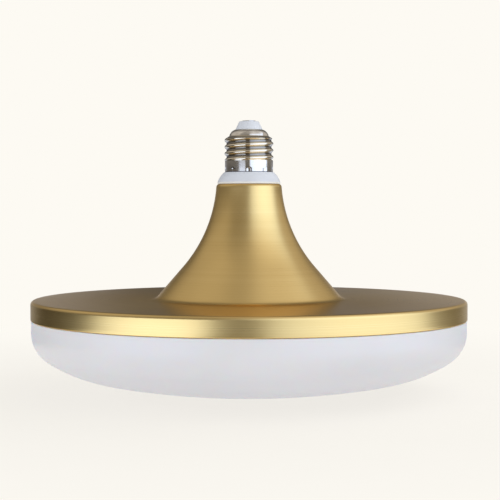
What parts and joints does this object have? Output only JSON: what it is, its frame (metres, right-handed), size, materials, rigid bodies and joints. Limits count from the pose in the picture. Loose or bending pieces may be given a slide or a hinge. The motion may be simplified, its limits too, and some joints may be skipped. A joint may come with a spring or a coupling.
{
  "type": "flying-saucer led lamp",
  "caption": "Saucer-shaped LED lamp: gold spun housing with a trumpet neck, opal dome below, white collar and E27 screw cap above.",
  "frame": {"origin": "lowest point of the dome, on the lamp's axis", "axes": "+Z along the lamp's axis, towards the cap; +X along the driver board; +Y out of its component side"},
  "size_m": [0.2346, 0.2346, 0.1468],
  "materials": {
    "gold_aluminium": "satin gold anodised",
    "opal_polycarbonate": "opal, smooth outside",
    "white_silicone": "matt",
    "nickel_plate": "bright nickel plate",
    "white_plastic": "moulded, half gloss",
    "zinc_steel": "zinc plated",
    "grey_silicone": "matt",
    "board_white": "white solder mask on aluminium",
    "bare_aluminium": "bare",
    "led_phosphor": "yellow phosphor in a white package",
    "board_green": "green solder mask",
    "clear_film": "bare polyester film",
    "component_blue": "epoxy coat",
    "component_red": "epoxy coat",
    "can_black": "sleeved can",
    "ferrite": "ferrite",
    "copper_wire": "enamelled copper",
    "component_black": "moulded epoxy",
    "wire_brown": "insulated wire",
    "wire_blue": "insulated wire",
    "wire_red": "insulated wire",
    "wire_black": "insulated wire"
  },
  "bodies": {
    "root": {"housing": "gold_aluminium", "diffuser": "opal_polycarbonate", "rim_sealant": "white_silicone", "screw_shell": "nickel_plate", "neck_collar": "white_plastic", "collar_screws": "zinc_steel", "cap_insulator": "white_plastic", "cap_contact": "nickel_plate", "thermal_pad": "grey_silicone", "led_board": "board_white", "board_studs": "bare_aluminium", "board_nuts": "zinc_steel", "leds": "led_phosphor", "driver_board": "board_green", "driver_sleeve": "clear_film", "fuse_resistor": "component_blue", "varistor": "component_blue", "film_capacitor": "component_red", "output_capacitor": "can_black", "bulk_capacitor": "can_black", "inductor_core": "ferrite", "inductor_winding": "copper_wire", "bridge_rectifier": "component_black", "driver_chip": "component_black", "chip_resistors": "component_black", "live_wire": "wire_brown", "neutral_wire": "wire_blue", "positive_lead": "wire_red", "negative_lead": "wire_black", "lead_terminal": "white_plastic"}
  },
  "joints": []
}
